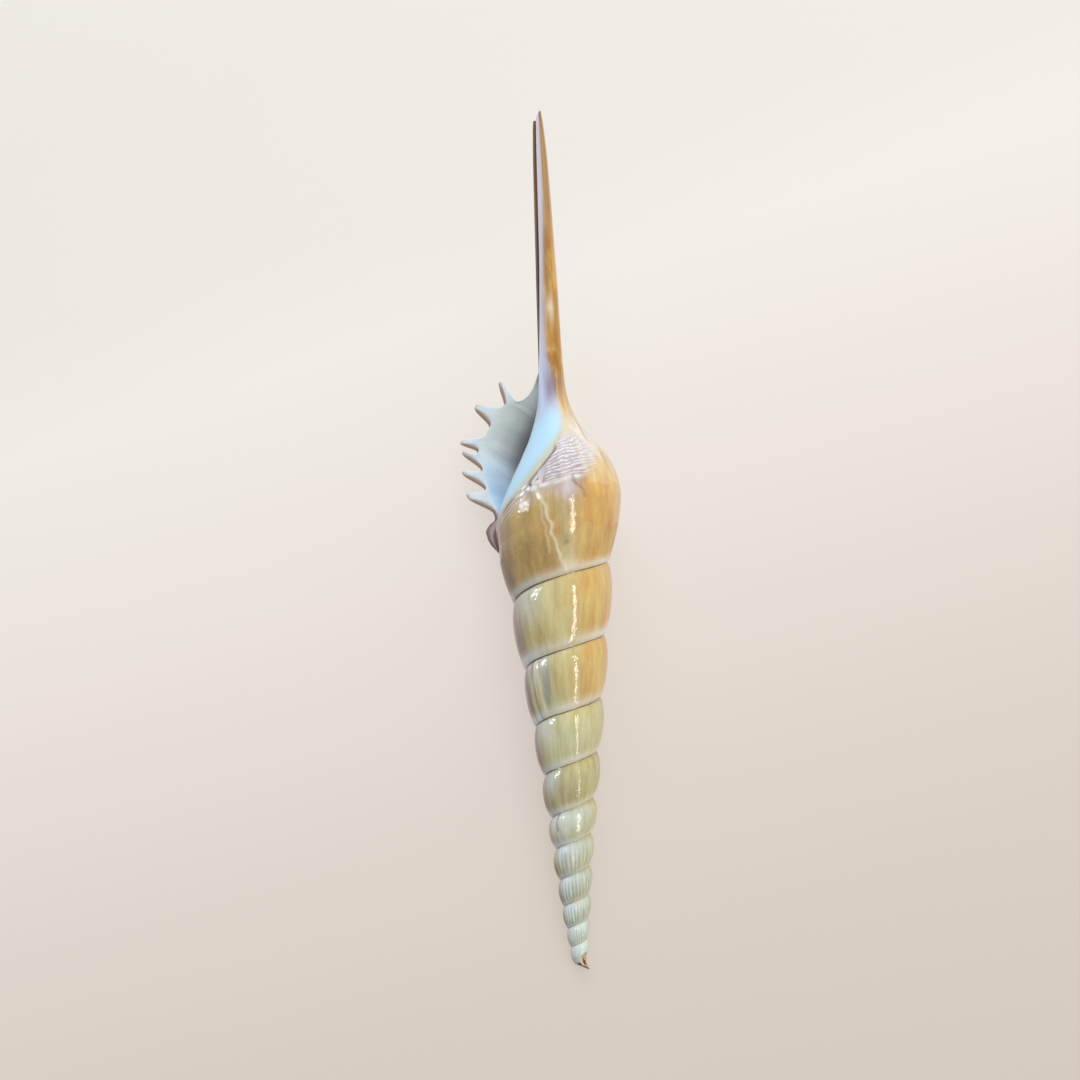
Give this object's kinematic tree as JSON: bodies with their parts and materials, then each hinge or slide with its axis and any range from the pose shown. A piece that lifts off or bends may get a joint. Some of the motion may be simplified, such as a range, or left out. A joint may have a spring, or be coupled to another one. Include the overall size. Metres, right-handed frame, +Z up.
{
  "type": "tibia shell",
  "caption": "Slender spindle-shaped sea snail shell with a tall spire, a spiny outer lip and a long straight canal, lying on its side.",
  "frame": {"origin": "Centre of the bounding box's footprint, on the surface that the shell lies on.", "axes": "+Y along the shell from the apex to the canal tip, +Z up from the surface, the spiny lip towards -X with the aperture facing up and to -X."},
  "size_m": [0.0398, 0.2122, 0.0314],
  "materials": {
    "shell": "glossy natural glaze, olive and golden cream, white at the aperture"
  },
  "bodies": {
    "root": {"shell": "shell"}
  },
  "joints": []
}
